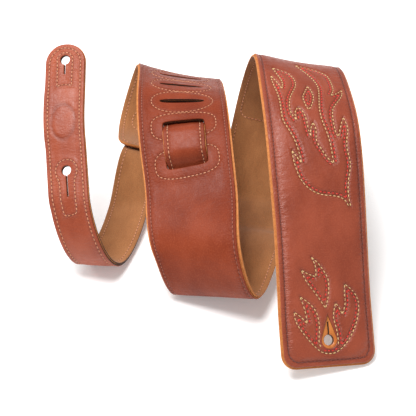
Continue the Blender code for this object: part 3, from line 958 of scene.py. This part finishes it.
def bend_points(ribbon, flex, reach=15, half=10):
    """Where a piece starts and stops bending at a flex line."""
    s = np.array([flex - reach, flex, flex + reach], float)
    centre, along, across, _ = ribbon.frames(s)
    way = along[0] + along[2]
    way = unit(way - (way @ across[1]) * across[1])
    return (centre[1] - half * way) / 1000, (centre[1] + half * way) / 1000


def attach(obj, ribbon, bodies, flex):
    """Join a piece to its body where it rides on one. A piece at a flex line is only baked in place: its bend
    points are found, but nothing joins it to its bodies or bends it.
    """
    if flex is None:
        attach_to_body(obj, bodies[0])
        return
    start, end = bend_points(ribbon, flex)
    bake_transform(obj)


def end_path(a, b, width, first, last, start_corner, end_corner, spacing, margin=0):
    """The outline of a piece from a to b: rounded, and set in by the margin, only at the strap's own ends."""
    path = strip(a + margin * first, b - margin * last, width - 2 * margin,
                 (start_corner - margin) * first, (end_corner - margin) * last)
    return spaced(path, spacing, closed=True)


def near_lines(lines, a, b, across=1):
    """Points beside these lines, so that the mesh has rows along the seams."""
    found = []
    for line in lines:
        line = line[(line[:, 0] > a) & (line[:, 0] < b)]
        if len(line) < 3:
            continue
        line = line[::2]
        way = unit(np.gradient(line, axis=0))
        beside = 0.9 * left_of(way)
        found += [line, line + beside, line - beside][: 1 + 2 * across]
    return found


WIDE_PIECES = (
    ("padded_front", 0, 150, ("button_end", "shoulder_front"), BUTTON_FLEX, "button_end"),
    ("padded_crest", 150, 254, ("shoulder_front", "shoulder_back"), CREST_FLEX, "shoulder_front"),
    ("padded_back", 254, 399, ("shoulder_back", "base"), BACK_FLEX, "shoulder_back"),
    ("floor_run", 399, 565, ("base", "slotted_front"), FOLD_FLEX, "base"),
    ("slot_run", 565, 726, ("slotted_front", "slotted_end"), SLOT_FLEX, "slotted_front"),
    ("slot_tail", 726, wide.end, ("slotted_end",), None, "slotted_end"),
)


def make_wide():
    for name, a, b, bodies, flex, stands_for in WIDE_PIECES:
        first, last = a == 0, b == wide.end
        padded = a < PAD_LENGTH - 20
        shape = (a, b, WIDE_WIDTH, first, last, CORNER, END_CORNER, 1.0 if a < FINE_END else 2.0)
        outline, face = end_path(*shape), end_path(*shape, MARGIN)
        cuts = [x for x in (a, b) if 0 < x < wide.end]
        holes = [spaced(slot(n), 1.5, True) for n in range(SLOTS) if a < slot_place(n) < b]
        cut = [spaced(window, 0.9, True)] if first else []
        pin = [spaced(keyhole(PIN_HOLE, PIN_RADIUS, PIN_SLIT), 0.8, True)] if first else []
        fine = 1.15 if a < FINE_END else 1.5 if padded else 2.2
        leather = laid_piece(
            f"{name}_leather", wide, [face, *holes, *cut], near_lines(sewn, a, b, not first),
            wide_top, flat_at(GAP / 2), (fine, 4),
            [RUSSET if padded else RUSSET_PAINTED_SHADE, EDGE, SUEDE, HOLE_WALL_SHADE], cuts=cuts)
        under = laid_piece(
            f"{name}_suede", wide, [outline, *holes, *pin], near_lines(flat_seams, a, b, 0),
            suede_low(flat_seams), flat_at(-GAP / 2), (2.4, 5), [SUEDE, EDGE, EDGE, HOLE_WALL_SHADE],
            bevel=-0.3, cuts=cuts)
        foam = [f"{stands_for}_foam"] if f"{stands_for}_foam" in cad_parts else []
        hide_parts(f"{stands_for}_leather", *foam)
        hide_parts(f"{stands_for}_suede")
        made = [leather, under]
        for kind, radius in THREAD_RADIUS.items():
            made.append(stitches(
                f"{name}_{kind}_stitches", wide, seams[kind], lambda s, v: wide_top(s, v)[0],
                radius, (a, b), THREADS[kind]))
        made.append(stitches(
            f"{name}_lower_stitches", wide, flat_seams, lambda s, v: suede_low(sewn)(s, v)[0],
            LOWER_THREAD, (a, b), THREADS["tan"], side=-1))
        for piece in made:
            if piece:
                attach(piece, wide, bodies, flex)


def make_patch():
    """The tan leather in the window, with the pin hole."""
    outline = spaced(drop(PIN_HOLE, PATCH_RADIUS, PATCH_TIP), 1.0, True)
    hole = spaced(keyhole(PIN_HOLE, PIN_RADIUS, PIN_SLIT), 0.6, True)

    def top(s, v):
        from_hole = np.maximum(np.hypot(s - PIN_HOLE, v) - PIN_RADIUS, 0)
        # The second value is painted shade along the slit.
        return PATCH_TOP - 0.4 * np.exp(-from_hole / 0.8), 0.35 * np.exp(-np.abs(v) / 0.6), np.zeros_like(s)

    patch = laid_piece("pin_hole_reinforcement", wide, [outline, hole], [], top, flat_at(GAP / 2 + 0.05),
                       (0.9, 3), [TAN, EDGE, SUEDE, HOLE_WALL_SHADE], bevel=0.3)
    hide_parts("pin_hole_patch")
    attach(patch, wide, ("button_end", "shoulder_front"), BUTTON_FLEX)


def beside_slot_flex():
    """Where the narrow strap passes the wide strap's flex line between the slots."""
    s = np.arange(0, 200, 0.5)
    away = np.linalg.norm(adjuster.frames(s)[0] - wide.frames(np.array([float(SLOT_FLEX)]))[0], axis=1)
    return float(s[np.argmin(away)])


def make_adjuster():
    pieces = (
        ("adjuster_woven", 0, 190, ("slotted_front", "slotted_end"), beside_slot_flex(),
         ("adjuster_bridge",)),
        ("adjuster_floor", 190, 322, ("slotted_end", "adjuster_base"), ADJUSTER_BASE_FLEX,
         ("adjuster_threaded",)),
        ("adjuster_fold", 322, 412, ("adjuster_base", "adjuster_front"), ADJUSTER_FOLD_FLEX,
         ("adjuster_base",)),
        ("adjuster_end", 412, adjuster_end, ("adjuster_front", "adjuster_tip"), ADJUSTER_TIP_FLEX,
         ("adjuster_front", "adjuster_tip")),
    )
    low = suede_low(narrow_seams)
    for name, a, b, bodies, flex, nodes in pieces:
        first, last = a == 0, b == adjuster_end
        shape = (a, b, NARROW_WIDTH, first, last, 3, NARROW_WIDTH / 2 - 0.6, 1.6)
        outline, face = end_path(*shape), end_path(*shape, NARROW_MARGIN)
        cuts = [x for x in (a, b) if 0 < x < adjuster_end]
        holes = []
        for place, slit in ((adjuster_end - TIP_HOLE, TIP_SLIT), (adjuster_end - LOW_HOLE, LOW_SLIT)):
            if a < place < b:
                holes.append(spaced(keyhole(place, PIN_RADIUS, slit, -1), 0.8, True))
        fine = 1.3 if a > 300 else 2.0
        leather = laid_piece(
            f"{name}_leather", adjuster, [face, *holes], near_lines(narrow_seams, a, b),
            narrow_top, flat_at(GAP / 2), (fine, 4),
            [RUSSET_PAINTED_SHADE if first else RUSSET_NARROW, NARROW_EDGE, SUEDE, HOLE_WALL_SHADE], cuts=cuts)
        under = laid_piece(
            f"{name}_suede", adjuster, [outline, *holes], near_lines(narrow_seams, a, b, 0), low,
            flat_at(-GAP / 2), (2.2, 4), [SUEDE, NARROW_EDGE, EDGE, HOLE_WALL_SHADE], bevel=-0.3, cuts=cuts)
        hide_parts(*[f"{node}_leather" for node in nodes])
        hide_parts(*[f"{node}_suede" for node in nodes])
        top = stitches(f"{name}_stitches", adjuster, narrow_seams, lambda s, v: narrow_top(s, v)[0],
                       NARROW_THREAD, (a, b), THREADS["tan"])
        below = stitches(f"{name}_lower_stitches", adjuster, narrow_seams, lambda s, v: low(s, v)[0],
                         LOWER_THREAD, (a, b), THREADS["tan"], side=-1)
        for piece in (leather, under, top, below):
            attach(piece, adjuster, bodies, flex)


def make_stage():
    mesh = bpy.data.meshes.new("floor")
    mesh.from_pydata([(-3, -3, 0), (3, -3, 0), (3, 3, 0), (-3, 3, 0)], [], [(0, 1, 2, 3)])
    floor = bpy.data.objects.new("floor", mesh)
    bpy.context.scene.collection.objects.link(floor)
    material, nodes, _ = tree_of("pale_floor")
    nodes["Principled BSDF"].inputs["Base Color"].default_value = (0.93, 0.93, 0.93, 1)
    nodes["Principled BSDF"].inputs["Roughness"].default_value = 0.9
    nodes["Principled BSDF"].inputs["Emission Color"].default_value = (1, 1, 1, 1)
    nodes["Principled BSDF"].inputs["Emission Strength"].default_value = 0.2
    mesh.materials.append(material)


def area_light(name, place, target, size, power):
    light = bpy.data.lights.new(name, "AREA")
    light.shape = "DISK"
    light.size = size
    light.energy = power
    obj = bpy.data.objects.new(name, light)
    obj.location = place
    obj.rotation_euler = (Vector(target) - Vector(place)).to_track_quat("-Z", "Y").to_euler()
    bpy.context.scene.collection.objects.link(obj)


def make_studio():
    world = bpy.data.worlds.new("studio")
    world.use_nodes = True
    world.node_tree.nodes["Background"].inputs["Color"].default_value = (1, 1, 1, 1)
    world.node_tree.nodes["Background"].inputs["Strength"].default_value = 0.5
    bpy.context.scene.world = world
    area_light("key", (-0.3, 0.0, 1.3), (0, 0, 0.04), size=0.7, power=21)
    area_light("side", (-1.15, 0.3, 0.75), (0, 0, 0.05), size=0.5, power=4)
    bpy.context.scene.view_settings.view_transform = "Standard"
    camera = bpy.data.cameras.new("camera")
    camera.lens = 93.56
    camera.sensor_width = 36
    obj = bpy.data.objects.new("camera", camera)
    obj.location = (0.0032, -0.5628, 0.537)
    obj.rotation_euler = (math.radians(48), 0, 0)
    bpy.context.scene.collection.objects.link(obj)
    bpy.context.scene.camera = obj


make_wide()
make_patch()
make_adjuster()
make_stage()
make_studio()
